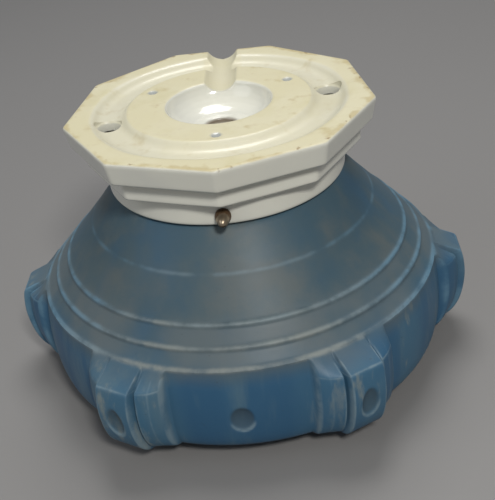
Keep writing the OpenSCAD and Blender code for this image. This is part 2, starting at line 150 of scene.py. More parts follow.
def smooth(low, high, x):
    """0 up to low, 1 past high, and an S between them."""
    t = np.clip((np.asarray(x, float) - low) / (high - low), 0, 1)
    return t * t * (3 - 2 * t)


def bump_at(centre, width, x):
    """1 at centre, falling to near 0 one width away on each side."""
    return np.exp(-(((np.asarray(x, float) - centre) / width) ** 2) * 3)


def rounded_line(points, setbacks, steps, bend=5):
    """Points along a line whose corners are cut back by setbacks and rounded.

    The number of points depends on steps and bend only.
    """
    points = [np.asarray(p, float) for p in points]
    out = [points[0]]
    leave = points[0]
    for i in range(1, len(points)):
        here = points[i]
        gap = here - points[i - 1]
        length = np.linalg.norm(gap[:2])
        last = i == len(points) - 1
        back = 0.0 if last else min(setbacks[i], 0.48 * length)
        if not last:
            onward = points[i + 1] - here
            ahead = min(setbacks[i], 0.48 * np.linalg.norm(onward[:2]))
        arrive = here - gap * (back / length if length else 0)
        for k in range(1, steps[i - 1] + 1):
            out.append(leave + (arrive - leave) * k / steps[i - 1])
        if last:
            break
        depart = here + onward * (ahead / np.linalg.norm(onward[:2]))
        for k in range(1, bend + 1):
            t = k / bend
            out.append((1 - t) ** 2 * arrive + 2 * t * (1 - t) * here + t * t * depart)
        leave = depart
    return np.array(out)


def flowing_line(points, steps):
    """A Catmull-Rom curve through points, with the given number of steps in each span."""
    p = np.asarray(points, float)
    p = np.vstack([2 * p[0] - p[1], p, 2 * p[-1] - p[-2]])
    out = [p[1]]
    for i, count in enumerate(steps):
        a, b, c, d = p[i : i + 4]
        for k in range(1, count + 1):
            t = k / count
            out.append(
                0.5
                * (
                    2 * b
                    + (c - a) * t
                    + (2 * a - 5 * b + 4 * c - d) * t**2
                    + (3 * b - a - 3 * c + d) * t**3
                )
            )
    return np.array(out)


def polygon_radius(azimuth, flat, corner_round):
    """Distance from the axis to a nine-sided outline with rounded corners, one at azimuth 0."""
    half = math.pi / SIDES
    off = (np.radians(azimuth) + half) % (2 * half) - half
    from_corner = np.abs(off)
    from_flat = half - from_corner
    centre = (flat - corner_round) / math.cos(half)
    straight = flat / np.cos(from_flat)
    inside = np.clip(corner_round**2 - (centre * np.sin(from_corner)) ** 2, 0, None)
    curved = centre * np.cos(from_corner) + np.sqrt(inside)
    turn = half - np.arctan((flat - corner_round) * math.tan(half) / flat)
    return np.where(from_corner < turn, np.minimum(curved, straight), straight)


def at_azimuth(azimuth, radius):
    """x and y of a point at an azimuth, which counts anticlockwise from the front, -Y."""
    a = np.radians(np.asarray(azimuth, float) - 90)
    return radius * np.cos(a), radius * np.sin(a)


def new_piece(name, verts, faces, masks=None):
    """A mesh object from points in millimetres, smooth, with any masks as point attributes."""
    mesh = bpy.data.meshes.new(name)
    mesh.from_pydata((np.asarray(verts) * MM).tolist(), [], faces)
    mesh.validate()
    mesh.update()
    mesh.shade_smooth()
    piece = bpy.data.objects.new(name, mesh)
    bpy.context.scene.collection.objects.link(piece)
    for key, values in (masks or {}).items():
        paint_mask(piece, key, values)
    return piece


def paint_mask(piece, key, values):
    layer = piece.data.attributes.new(key, "FLOAT", "POINT")
    layer.data.foreach_set("value", np.asarray(values, np.float32))


def closed_grid(x, y, z, first_pole, last_pole):
    """Points and faces of a skin of rings, closed at each end by a point on the axis."""
    rows, cols = x.shape
    verts = np.column_stack([x.ravel(), y.ravel(), z.ravel()])
    verts = np.vstack([verts, first_pole, last_pole])
    i = np.arange(rows - 1)[:, None] * cols
    j = np.arange(cols)[None, :]
    k = (j + 1) % cols
    quads = np.stack(
        [
            np.broadcast_to(i + j, (rows - 1, cols)),
            np.broadcast_to(i + cols + j, (rows - 1, cols)),
            np.broadcast_to(i + cols + k, (rows - 1, cols)),
            np.broadcast_to(i + k, (rows - 1, cols)),
        ],
        axis=-1,
    ).reshape(-1, 4)
    first, last = rows * cols, rows * cols + 1
    end = (rows - 1) * cols
    ring = np.arange(cols)
    fan = [[first, int(a), int((a + 1) % cols)] for a in ring]
    fan += [[last, int(end + (a + 1) % cols), int(end + a)] for a in ring]
    return verts, quads.tolist() + fan


def screw_line(azimuth_deg):
    """Lays Z out along the line of the shade screw at an azimuth."""
    return (
        Matrix.Translation((0, 0, SCREW_Z * MM))
        @ Matrix.Rotation(math.radians(azimuth_deg - 90), 4, "Z")
        @ Matrix.Rotation(math.radians(90), 4, "Y")
    )


def lathe(name, outline, sides):
    """A closed solid of revolution about Z. The outline runs from the axis back to the axis."""
    outline = np.asarray(outline, float)
    angle = np.linspace(0, 2 * math.pi, sides, endpoint=False)
    body = outline[1:-1]
    x = body[:, :1] * np.cos(angle)
    y = body[:, :1] * np.sin(angle)
    z = np.repeat(body[:, 1:2], sides, axis=1)
    verts, faces = closed_grid(
        x, y, z, [0, 0, outline[0, 1]], [0, 0, outline[-1, 1]]
    )
    return new_piece(name, verts, faces)


def outward(piece):
    """Faces the skin outwards."""
    bm = bmesh.new()
    bm.from_mesh(piece.data)
    bmesh.ops.recalc_face_normals(bm, faces=bm.faces)
    bm.to_mesh(piece.data)
    bm.free()


def carve(piece, cutters):
    """Takes each cutter out of the piece, and removes the cutters."""
    for cutter in cutters:
        outward(cutter)
        cut = piece.modifiers.new("cut", "BOOLEAN")
        cut.operation = "DIFFERENCE"
        cut.solver = "EXACT"
        cut.object = cutter
    bpy.context.view_layer.update()
    done = piece.evaluated_get(bpy.context.evaluated_depsgraph_get())
    mesh = bpy.data.meshes.new_from_object(done)
    piece.modifiers.clear()
    old, piece.data = piece.data, mesh
    bpy.data.meshes.remove(old)
    for cutter in cutters:
        bpy.data.objects.remove(cutter)


def soft_edges(piece, degrees):
    """Smooth shading that keeps the edges sharper than the given angle."""
    piece.data.shade_smooth()
    piece.data.set_sharp_from_angle(angle=math.radians(degrees))


# ---- Porcelain holder ----

# The holder's columns, in degrees
COLUMN_STEP = 1.25
CLOSEST_COLUMNS = 0.3


def holder_columns():
    """Azimuths of the holder's columns: even, with more at each corner and at the wire notch."""
    even = np.arange(0, 360, COLUMN_STEP)
    corners = [
        i * 360 / SIDES + off
        for i in range(SIDES)
        for off in (-2.0, -1.4, -0.9, -0.45, 0.45, 0.9, 1.4, 2.0)
    ]
    notch = NOTCH_AZIMUTH + np.arange(-9, 9.01, 0.45)
    every = np.concatenate([even, corners, notch]) % 360
    every = np.sort(np.unique(np.round(every, 3)))
    keep = [every[0]]
    for a in every[1:]:
        if a - keep[-1] > CLOSEST_COLUMNS:
            keep.append(a)
    return np.array(keep)


def notch_floor(x):
    """Height of the wire notch's round trough, with soft lips, x to the side of its middle."""
    arc_r = (NOTCH_HALF_W**2 + NOTCH_Z**2) / (-2 * NOTCH_Z)
    side = np.abs(x)
    sunk = np.sqrt(np.clip(arc_r**2 - side**2, 0, None)) - arc_r - NOTCH_Z
    soft = 0.5 * (sunk + np.sqrt(sunk**2 + NOTCH_SOFTNESS**2))
    return -np.minimum(soft, -NOTCH_Z) * (1 - smooth(NOTCH_FADE_FROM, NOTCH_FADE_TO, side))


def from_marks(x, y):
    """Distance to each of the three kiln marks, in mark radii."""
    for azimuth in (0.0, 120.0, 240.0):
        mark_x, mark_y = at_azimuth(azimuth, MARK_CIRCLE_R)
        yield np.hypot(x - mark_x, y - mark_y) / MARK_R


def make_holder():
    bowl = [
        (
            BOWL_FLOOR_R + BOWL_ROUND_R * math.cos(math.radians(a)),
            BOWL_Z + BOWL_ROUND_R + BOWL_ROUND_R * math.sin(math.radians(a)),
        )
        for a in (-78, -66, -54, -42, -31, -21)
    ]
    # radius (or distance to a flat), height, how nine-sided, setback, steps to the next
    line = [
        (0.6, BOWL_Z, 0, 0, 4),
        (BOWL_FLOOR_R, BOWL_Z, 0, 1.5, 1),
        *[(r, z, 0, 0.6, 1) for r, z in bowl],
        (BOWL_RIM_R, 0, 0, 1.6, 9),
        (29.0, 0, 0, 0, 9),
        (35.0, 0, 0, 0, 3),
        (GROOVE_IN_R - 0.4, 0, 0, 1.6, 2),
        (GROOVE_IN_R + 2.4, GROOVE_Z, 0, 2.4, 8),
        (GROOVE_OUT_R - 2.4, GROOVE_Z, 0, 2.4, 2),
        (GROOVE_OUT_R + 0.4, 0, 0, 1.6, 5),
        (SLAB_FLAT - 3.0, 0, 1, 0, 2),
        (SLAB_FLAT, 0, 1, 1.7, 7),
        (SLAB_LOW_FLAT, SLAB_Z, 1, 1.0, 1),
        (SLAB_LOW_FLAT - 2.6, SLAB_Z - 0.2, 1, 0.8, 1),
        (STEP_FLAT + 0.6, SLAB_Z - 1.6, 1, 1.2, 2),
        (STEP_FLAT, STEP_TOP_Z, 1, 1.0, 3),
        (STEP_FLAT, STEP_LOW_Z, 1, 1.3, 3),
        (COLLAR_R, STEP_LOW_Z, 0, 0.9, 7),
        (COLLAR_R, HOLDER_BOTTOM, 0, 1.5, 2),
        (COLLAR_BORE_R, HOLDER_BOTTOM, 0, 1.3, 4),
        (COLLAR_BORE_R, -20.0, 0, 1.5, 2),
        (47.9, -17.0, 0, 1.5, 2),
        (48.1, -12.3, 0, 1.5, 2),
        (52.2, -9.1, 0, 1.0, 2),
        (51.0, WEB_Z, 0, 1.0, 9),
        (31.0, WEB_Z, 0, 1.0, 1),
        (28.5, WEB_Z - 1.5, 0, 1.0, 3),
        (BOSS_R, BOSS_Z, 0, 0.6, 8),
        (0.6, BOSS_Z, 0, 0, 1),
    ]
    rings = rounded_line(
        [p[:3] for p in line], [p[3] for p in line], [p[4] for p in line]
    )
    azimuth = holder_columns()
    flat, z, nine = (rings[:, i : i + 1] for i in range(3))
    round_r = np.repeat(flat, len(azimuth), axis=1)
    nine_r = np.stack([polygon_radius(azimuth, f, CORNER_ROUND) for f in flat[:, 0]])
    radius = round_r + (nine_r - round_r) * nine
    x, y = at_azimuth(azimuth[None, :], radius)
    z = np.repeat(z, len(azimuth), axis=1)
    edge = np.argmax(rings[:, 0])
    side_rows = np.argmax(rings[edge:, 1] < SLAB_Z + 0.2)
    above = (np.arange(len(rings)) < edge + side_rows)[:, None] & (y > 0)
    z = np.where(above, np.minimum(z, np.maximum(notch_floor(x), SLAB_Z)), z)
    for near in from_marks(x, y):
        z = np.where(z > -0.5, z - MARK_DEPTH * np.clip(1 - near**2, 0, 1) ** 0.7, z)
    verts, faces = closed_grid(x, y, z, [0, 0, BOWL_Z], [0, 0, BOSS_Z])
    holder = new_piece("porcelain_shade_holder", verts, faces)
    outward(holder)

    through = [
        (0, 4),
        (MOUNT_HOLE_R + 0.75, 4),
        (MOUNT_HOLE_R + 0.7, GROOVE_Z + 0.1),
        (MOUNT_HOLE_R + 0.5, GROOVE_Z - 0.2),
        (MOUNT_HOLE_R + 0.2, GROOVE_Z - 0.5),
        (MOUNT_HOLE_R, GROOVE_Z - HOLE_LIP),
        (MOUNT_HOLE_R, WEB_Z - 3),
        (0, WEB_Z - 3),
    ]
    cutters = []
    for azimuth_deg in (MOUNT_TURN, MOUNT_TURN + 180):
        cutter = lathe("cutter", through, 48)
        cx, cy = at_azimuth(azimuth_deg, MOUNT_CIRCLE_R)
        cutter.location = (cx * MM, cy * MM, 0)
        cutters.append(cutter)
    cutters.append(
        lathe(
            "cutter",
            [
                (0, BOWL_Z + 2),
                (WIRE_HOLE_R + 1.4, BOWL_Z + 2),
                (WIRE_HOLE_R + 1.1, BOWL_Z + 0.1),
                (WIRE_HOLE_R + 0.35, BOWL_Z - 0.3),
                (WIRE_HOLE_R, BOWL_Z - HOLE_LIP),
                (WIRE_HOLE_R, BOSS_Z - 2),
                (0, BOSS_Z - 2),
            ],
            64,
        )
    )
    for azimuth_deg in SCREW_AZIMUTHS.values():
        cutter = lathe(
            "cutter",
            [
                (0, BUSHING_FROM_R),
                (BUSHING_R, BUSHING_FROM_R),
                (BUSHING_R, BUSHING_TO_R),
                (0, BUSHING_TO_R),
            ],
            40,
        )
        cutter.matrix_world = screw_line(azimuth_deg)
        cutters.append(cutter)
    insert_low, insert_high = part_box("socket_inserts")
    insert_r = (insert_high.y - insert_low.y) / 2 / MM
    for side in (-1, 1):
        cutter = lathe(
            "cutter",
            [
                (0, insert_low.z / MM - 2),
                (insert_r, insert_low.z / MM - 2),
                (insert_r, insert_high.z / MM),
                (0, insert_high.z / MM),
            ],
            32,
        )
        cutter.location = (side * (insert_high.x - insert_r * MM), 0, 0)
        cutters.append(cutter)
    carve(holder, cutters)
    soft_edges(holder, 42)
    paint_holder_masks(holder)
    return holder


def paint_holder_masks(holder):
    """Where the porcelain is bare, where dirt gathers, where painted shadow and dirt darken the
    collar's seat and the wire hole's rim, where painted shade darkens the cove under the slab,
    and where the kiln marks are.
    """
    co = np.zeros(len(holder.data.vertices) * 3, np.float32)
    holder.data.vertices.foreach_get("co", co)
    x, y, z = (co.reshape(-1, 3) / MM).T
    r = np.hypot(x, y)
    azimuth = np.degrees(np.arctan2(y, x)) + 90
    flat = r / np.maximum(polygon_radius(azimuth, 1.0, 0.02), 1e-6)
    bare = smooth(-0.45, -0.05, z)
    bare = bare * (1 - smooth(SLAB_FLAT - 0.6, SLAB_FLAT + 0.2, flat))
    in_groove = smooth(GROOVE_Z - 1.2, GROOVE_Z - 0.4, z) * smooth(33.0, 36.0, r)
    in_groove = in_groove * (1 - smooth(GROOVE_OUT_R, GROOVE_OUT_R + 1.5, r))
    bare = np.maximum(bare, 0.62 * in_groove)
    in_notch = (1 - smooth(8.0, 9.5, np.abs(x))) * smooth(19.0, 22.0, y) * smooth(-6.0, -4.4, z)
    bare = np.maximum(bare, 0.8 * in_notch)
    rim = bump_at(SLAB_FLAT - 1.4, 2.6, flat) * smooth(-1.6, -0.1, z)
    # Painted shadow with some dirt: a dark line where the step meets the collar
    seat = bump_at(STEP_LOW_Z - 0.1, 0.9, z) * smooth(COLLAR_R - 0.4, COLLAR_R + 0.2, r)
    # Painted shade with some rust round the wire hole's rim in the bowl floor
    wire = bump_at(BOWL_Z - 1.2, 2.4, z) * smooth(WIRE_HOLE_R + 1.6, WIRE_HOLE_R, r)
    # Painted shade in the cove under the slab's lower edge
    under = smooth(SLAB_Z - 0.2, SLAB_Z - 1.6, z) * smooth(STEP_TOP_Z - 0.6, STEP_TOP_Z + 1.4, z)
    marks = np.zeros(len(r))
    for near in from_marks(x, y):
        marks += (1 - smooth(0.75, 1.05, near)) * (z > -1)
    for key, values in {
        "bare": bare,
        "rim": rim,
        "seat": np.clip(seat + wire, 0, 1),
        "under": under,
        "marks": marks,
    }.items():
        paint_mask(holder, key, values)


# ---- Glass shade ----

# The outside from the neck to the lowest ridge: radius, height, setback, steps to the next
SHOULDER = [
    (37.6, NECK_TOP, 0, 2),
    (41.2, NECK_TOP, 0.9, 2),
    (41.2, -22.6, 0.7, 1),
    (39.6, -23.6, 0.7, 2),
    (39.6, -26.4, 0.7, 1),
    (41.2, -27.6, 0.7, 1),
    (42.6, -29.9, 0.7, 2),
    (46.4, -30.0, 0.8, 1),
    (47.6, -30.9, 1.2, 6),
    (57.2, -42.2, 0.6, 3),
    (58.6, -43.9, 0.7, 2),
    (60.0, -45.4, 0.6, 7),
]
for ridge_r, ridge_z in RIDGES:
    SHOULDER += [
        (ridge_r - 1.5, ridge_z + 1.15, 0.9, 1),
        (ridge_r - 0.6, ridge_z + 0.95, 0.5, 1),
        (ridge_r + 0.1, ridge_z + 0.3, 0.5, 1),
        (ridge_r + 0.1, ridge_z - 0.9, 0.6, 3),
    ]
SHOULDER = SHOULDER[:-1]

# Matching stations down the band, the middle block of a lug and its side ribs
BAND = [
    (83.2, -70.06),
    (83.3, -71.5),
    (83.6, -73.2),
    (83.85, -74.8),
    (84.0, -75.9),
    (84.3, -77.8),
    (84.65, -81.5),
    (84.88, -86.0),
    (84.88, -91.0),
    (84.5, -96.5),
    (83.8, -101.3),
    (82.5, -105.2),
    (80.2, -107.7),
    (77.2, -108.7),
    (73.4, -109.35),
]
BLOCK = [
    (83.2, -70.3),
    (86.6, -71.9),
    (90.6, -73.7),
    (93.3, -75.0),
    (94.3, -75.9),
    (94.95, -77.8),
    (95.55, -81.5),
    (LUG_REACH - 0.05, -86.0),
    (95.5, -91.0),
    (94.5, -96.5),
    (92.8, -101.3),
    (90.0, -105.4),
    (85.8, -108.2),
    (79.6, -109.35),
    (73.4, -109.45),
]
RIB = [
    (83.1, -70.7),
    (85.4, -72.9),
    (87.6, -75.0),
    (89.0, -76.4),
    (89.5, -77.3),
    (89.9, -79.2),
    (90.2, -82.6),
    (90.35, -86.5),
    (90.1, -91.4),
    (89.2, -96.6),
    (87.5, -101.4),
    (85.0, -105.2),
    (81.6, -107.6),
    (77.4, -108.7),
    (73.4, -109.35),
]
BAND_STEPS = [3, 3, 3, 2, 3, 4, 6, 7, 7, 5, 5, 4, 3, 3]

# The inside, from the middle of the bottom up to the neck
INSIDE = [
    (0.6, -110.8, 0, 6),
    (30.0, -110.2, 2, 5),
    (55.0, -107.9, 2, 4),
    (75.0, -104.5, 4, 3),
    (80.2, -97.0, 3, 3),
    (INSIDE_CORNER_R, -87.0, 3, 3),
    (79.8, -77.0, 3, 3),
    (77.6, -71.6, 3, 5),
    (53.6, -46.0, 2, 5),
    (43.4, -33.0, 2, 3),
    (38.2, -29.2, 1, 2),
    (36.6, -26.8, 1, 3),
    (36.6, NECK_TOP, 0.8, 2),
    (37.6, NECK_TOP, 0, 1),
]


def underside_z(r):
    """Height of the shade's shallow underside at a radius."""
    return SHADE_BOTTOM + UNDER_RISE * (r / INSIDE_CORNER_R) ** 2.4


def shade_columns():
    """For each column: its azimuth at the band, its lug's azimuth or None, and its distance to
    the side of that lug's middle."""
    half = [0.0, 0.55, 1.1, 1.65, 2.2, 2.75, 3.3, 3.8, 4.3, 5.0, 5.8, 6.4, 6.75, 7.0]
    half += [7.2, 7.4, 7.65, 7.9, 8.15, 8.4, 8.65, 8.95, 9.4, 10.2, 11.2, 12.2, 12.8]
    half += [13.3, 13.9, 14.8, 15.6, 16.2, 16.6, 16.95, 17.3, 17.8, LUG_ZONE]
    side = np.array(sorted({-u for u in half} | set(half)))
    edge = math.degrees(math.asin(LUG_ZONE / BAND_R))
    columns = []
    for i, lug in enumerate(LUG_AZIMUTHS):
        columns += [(lug + math.degrees(math.asin(u / BAND_R)), lug, u) for u in side]
        start, stop = lug + edge, lug + 60 - edge
        middle = (lug + 30) % 360
        if middle in DIMPLE_AZIMUTHS:
            near = np.degrees(np.linspace(-DIMPLE_ZONE, DIMPLE_ZONE, 27) / BAND_R) + lug + 30
            out = np.linspace(start, near[0], 7)[1:-1]
            back = np.linspace(near[-1], stop, 7)[1:-1]
            free = np.concatenate([out, near, back])
        else:
            free = np.linspace(start, stop, 18)[1:-1]
        columns += [(a, None, 0.0) for a in free]
    return columns


def make_shade():
    shoulder = rounded_line(
        [p[:2] for p in SHOULDER],
        [p[2] for p in SHOULDER],
        [p[3] for p in SHOULDER],
        bend=3,
    )
    band = flowing_line(BAND, BAND_STEPS)
    block = flowing_line(BLOCK, BAND_STEPS)
    rib = flowing_line(RIB, BAND_STEPS)
    under_r = np.array([68, 62, 55, 48, 41, 34, 27, 20, 13, 6, 0.8])
    under = np.column_stack([under_r, underside_z(under_r)])
    inside = rounded_line(
        [p[:2] for p in INSIDE], [p[2] for p in INSIDE], [p[3] for p in INSIDE], bend=3
    )
    station = np.concatenate(
        [[i + k / n for k in range(n)] for i, n in enumerate(BAND_STEPS)]
        + [[len(BAND_STEPS)]]
    )
    columns = shade_columns()
    count = len(columns)
    azimuth = np.array([c[0] for c in columns])
    u = np.array([c[2] for c in columns])
    in_lug = np.array([c[1] is not None for c in columns])
    lug_azimuth = np.array([c[1] if c[1] is not None else c[0] for c in columns])
    side = np.where(in_lug, np.abs(u), 99.0)

    def turned(outline):
        r = np.repeat(outline[:, :1], count, axis=1)
        x, y = at_azimuth(azimuth[None, :], r)
        return x, y, np.repeat(outline[:, 1:2], count, axis=1)

    # Weights of the block, the ribs and the slit between them
    block_w = 1 - smooth(BLOCK_HALF_W - 0.35, BLOCK_HALF_W + 0.35, side)
    ramp = np.interp(side, [RIB_OUTER_U, RIB_BEND_U, RIB_FOOT_U], [1.0, 0.60, 0.0])
    slit = np.exp(-(((side - (BLOCK_HALF_W + RIB_INNER_U) / 2) / SLIT_HALF_W) ** 2))
    deep = SLIT_DEPTH * (1 - smooth(8.5, 12.0, station))[:, None]
    rib_w = ramp[None, :] * (1 - deep * slit[None, :])
    lean = RIB_SLOPE * np.clip((RIB_OUTER_U - side) / (RIB_OUTER_U - RIB_INNER_U), 0, 1)
    lean = lean * smooth(0.4, 3.0, station)[:, None] * (1 - smooth(11.0, 14.0, station))[:, None]

    # In a lug the columns run straight down instead of towards the axis
    straight = np.where(in_lug, 1 - smooth(13.0, LUG_ZONE, side), 0.0)
    fade = np.interp(station, [0, 0.6, 12, 14], [0.0, 1.0, 1.0, 0.0])[:, None]
    away = np.radians(azimuth - lug_azimuth)[None, :]
    band_r = band[:, :1]
    lateral = band_r * np.sin(away)
    lateral = lateral + (u[None, :] - lateral) * fade * straight[None, :]
    body_n = np.sqrt(np.maximum(band_r**2 - lateral**2, 0))
    n = body_n + (rib[:, :1] + lean - body_n) * rib_w
    z = band[:, 1:2] + (rib[:, 1:2] - band[:, 1:2]) * rib_w
    n = n + (block[:, :1] - n) * block_w
    z = z + (block[:, 1:2] - z) * block_w

    # Oval dimples in the blocks, and round ones in the band
    oval = np.hypot(lateral / OVAL_HALF_W, (z - OVAL_Z) / OVAL_HALF_H)
    n = n - OVAL_DEPTH * np.clip(1 - oval**2, 0, 1) ** 0.8 * (block_w > 0.9)
    dimple = np.full_like(n, 9.0)
    for d in DIMPLE_AZIMUTHS:
        off = (azimuth - d + 180) % 360 - 180
        across = np.radians(off)[None, :] * BAND_R / DIMPLE_HALF_W
        far = np.hypot(across, (z - DIMPLE_Z) / DIMPLE_HALF_H)
        dimple = np.minimum(dimple, far)
    n = n - DIMPLE_DEPTH * np.clip(1 - dimple**2, 0, 1) ** 0.85 * (~in_lug)[None, :]
    turn = np.radians(lug_azimuth - 90)[None, :]
    x = n * np.cos(turn) - lateral * np.sin(turn)
    y = n * np.sin(turn) + lateral * np.cos(turn)

    parts = [turned(shoulder), (x, y, z), turned(under), turned(inside[:-1])]
    gx, gy, gz = (np.vstack([p[i] for p in parts]) for i in range(3))
    split = len(shoulder) + len(band) + len(under)
    rows = len(gx)

    # Two skins share the neck's top edge: one goes down outside, the other comes up inside
    verts = np.column_stack([gx.ravel(), gy.ravel(), gz.ravel()])
    verts = np.vstack([verts, [0, 0, SHADE_BOTTOM], [0, 0, INSIDE[0][1]]])
    i = np.array([r for r in range(rows) if r != split - 1])[:, None]
    ahead = np.where(i == rows - 1, 0, i + 1)
    j = np.arange(count)[None, :]
    k = (j + 1) % count
    quads = np.stack(
        [i * count + j, ahead * count + j, ahead * count + k, i * count + k], axis=-1
    ).reshape(-1, 4)
    bottom, floor = rows * count, rows * count + 1
    ring = np.arange(count)
    nxt = (ring + 1) % count
    low, high = (split - 1) * count, split * count
    fans = [[bottom, int(low + b), int(low + a)] for a, b in zip(ring, nxt)]
    fans += [[floor, int(high + a), int(high + b)] for a, b in zip(ring, nxt)]

    # Wear and painted highlights on the ridges and the lugs' edges, and painted highlights on the
    # dimples' lower lips
    shape = gx.shape
    wear_and_highlight = np.zeros(shape)
    out_r = np.hypot(gx, gy)
    above = np.zeros(shape, bool)
    above[: len(shoulder) + 4] = True
    for ridge_r, ridge_z in RIDGES:
        near = np.hypot(out_r - ridge_r + 0.25, gz - ridge_z - 0.6)
        wear_and_highlight = np.maximum(wear_and_highlight, 0.72 * np.exp(-((near / 1.5) ** 2)) * above)
    crease = np.hypot(out_r - 58.6, gz + 43.9)
    wear_and_highlight = np.maximum(wear_and_highlight, 0.5 * np.exp(-((crease / 1.1) ** 2)) * above)
    lug_rows = slice(len(shoulder), len(shoulder) + len(band))
    st = station[:, None]
    side_row = side[None, :]
    in_face = smooth(0.6, 1.6, st) * (1 - smooth(10.5, 12.5, st))
    top_edge = bump_at(3.6, 0.8, st)
    # Painted highlights and wear along the lugs' top edges and the edges of the blocks and ribs
    lug = np.maximum(
        top_edge * np.clip(block_w + 0.8 * (ramp > 0.6), 0, 1)[None, :],
        0.85 * bump_at(BLOCK_HALF_W - 0.3, 0.8, side_row) * in_face,
    )
    lug = np.maximum(lug, 0.7 * bump_at(RIB_INNER_U + 0.5, 0.9, side_row) * in_face)
    lug = np.maximum(lug, 0.5 * bump_at(RIB_OUTER_U, 0.9, side_row) * in_face)
    lug = np.maximum(lug, 0.8 * bump_at(16.5, 0.9, side_row) * in_face)
    # Painted highlights on the lower lips of the oval and round dimples
    oval_lip_highlight = bump_at(1.02, 0.26, oval) * (block_w > 0.9) * smooth(OVAL_Z + 4, OVAL_Z - 5, z)
    dimple_lip_highlight = bump_at(0.98, 0.28, dimple) * smooth(DIMPLE_Z + 1, DIMPLE_Z - 4, z)
    wear_and_highlight[lug_rows] = np.maximum.reduce([wear_and_highlight[lug_rows], lug, 0.9 * oval_lip_highlight, 0.9 * dimple_lip_highlight])
    # Painted shade inside the oval and round dimples
    hollow = np.zeros(shape)
    hollow[lug_rows] = np.maximum(
        (1 - smooth(0.75, 1.0, oval)) * (block_w > 0.9),
        (1 - smooth(0.8, 1.0, dimple)) * (~in_lug)[None, :],
    )
    within = np.zeros(shape)
    within[split:] = 1
    shade = new_piece(
        "blue_glass_bowl_shade",
        verts,
        quads.tolist() + fans,
        {
            key: np.append(mask.ravel(), [0, mask[-1, 0]])
            for key, mask in {"wear_and_highlight": wear_and_highlight, "hollow": hollow, "within": within}.items()
        },
    )
    outward(shade)
    return shade


# ---- Shade screws ----


def make_screw(name, azimuth_deg):
    """A bullet-headed screw on its own axis, then laid out along its azimuth."""
    low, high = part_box("shade_screw_front")
    reach = -low.y / MM
    tip = -high.y / MM
    head_r = (high.z - low.z) / 2 / MM
    foot = reach - HEAD_LEN
    outline = [
        (0, tip),
        (0.8, tip + 0.05),
        (1.85, tip + 1.2),
        (1.85, foot),
        (head_r - 0.2, foot),
        (head_r, foot + 0.25),
        (head_r, foot + 0.9),
        (head_r - 0.12, foot + 1.25),
        (head_r - 0.28, foot + 2.0),
        (head_r - 0.48, foot + 3.0),
        (head_r - 0.70, foot + 4.0),
        (head_r - 0.96, foot + 4.9),
        (head_r - 1.30, foot + 5.7),
        (head_r - 1.80, foot + 6.4),
        (head_r - 2.35, foot + 6.8),
        (0.35, reach - 0.02),
        (0, reach),
    ]
    screw = lathe(name, outline, 48)
    outward(screw)
    along = (np.array([v.co.z for v in screw.data.vertices]) / MM - foot) / HEAD_LEN
    up = -np.array([v.co.x for v in screw.data.vertices]) / MM / head_r
    screw.data.transform(screw_line(azimuth_deg))
    soft_edges(screw, 50)
    # Wear towards the nose, with a painted highlight on the head's upper side
    paint_mask(screw, "nose", smooth(0.2, 0.75, along) * smooth(-0.55, 0.2, up))
    return screw


# ---- Finishes ----


class Value:
    """A shader socket that takes Python arithmetic."""

    def __init__(self, finish, socket):
        self.finish = finish
        self.socket = socket

    def _math(self, operation, first, second):
        return self.finish.node("ShaderNodeMath", {"operation": operation}, {0: first, 1: second})

    def __add__(self, other):
        return self._math("ADD", self, other)

    def __radd__(self, other):
        return self._math("ADD", other, self)

    def __rsub__(self, other):
        return self._math("SUBTRACT", other, self)

    def __mul__(self, other):
        return self._math("MULTIPLY", self, other)

    def __rmul__(self, other):
        return self._math("MULTIPLY", other, self)


class Finish:
    """A material that is built from nodes around one glossy shader."""

    def __init__(self, name, **constants):
        self.material = bpy.data.materials.new(name)
        self.material.use_nodes = True
        self.tree = self.material.node_tree
        self.shader = next(n for n in self.tree.nodes if n.type == "BSDF_PRINCIPLED")
        for key, value in constants.items():
            self.shader.inputs[key.replace("_", " ")].default_value = value

    def node(self, kind, settings, inputs, output=0):
        made = self.tree.nodes.new(kind)
        for key, value in settings.items():
            setattr(made, key, value)
        for key, value in inputs.items():
            self.put(made.inputs[key], value)
        return Value(self, made.outputs[output])

    def put(self, socket, value):
        if isinstance(value, Value):
            self.tree.links.new(value.socket, socket)
        elif isinstance(value, tuple) and socket.type == "RGBA":
            socket.default_value = (*value, 1)
        else:
            socket.default_value = value

    def place(self):
        return self.node("ShaderNodeTexCoord", {}, {}, "Object")

    def stretched(self, scale):
        """The object's own coordinates, in metres, times a scale on each axis."""
        return self.node(
            "ShaderNodeVectorMath", {"operation": "MULTIPLY"}, {0: self.place(), 1: scale}
        )

    def noise(self, scale, detail=3.0, roughness=0.5, stretch=(1, 1, 1)):
        return self.node(
            "ShaderNodeTexNoise",
            {},
            {
                "Vector": self.stretched(stretch),
                "Scale": scale,
                "Detail": detail,
                "Roughness": roughness,
            },
        )

    def mask(self, name):
        return self.node("ShaderNodeAttribute", {"attribute_name": name}, {}, "Fac")

    def between(self, value, low, high):
        """0 where value is at low, 1 where it is at high, and an S between them."""
        return self.node(
            "ShaderNodeMapRange",
            {"interpolation_type": "SMOOTHSTEP"},
            {"Value": value, "From Min": low, "From Max": high},
        )

    def mix(self, amount, first, second):
        return self.node(
            "ShaderNodeMix", {"data_type": "RGBA"}, {0: amount, 6: first, 7: second}, 2
        )

    def bump(self, height, strength, distance):
        made = self.node(
            "ShaderNodeBump", {}, {"Strength": strength, "Distance": distance, "Height": height}
        )
        self.put(self.shader.inputs["Normal"], made)

    def paint(self, **sockets):
        for key, value in sockets.items():
            self.put(self.shader.inputs[key.replace("_", " ")], value)
        return self.material


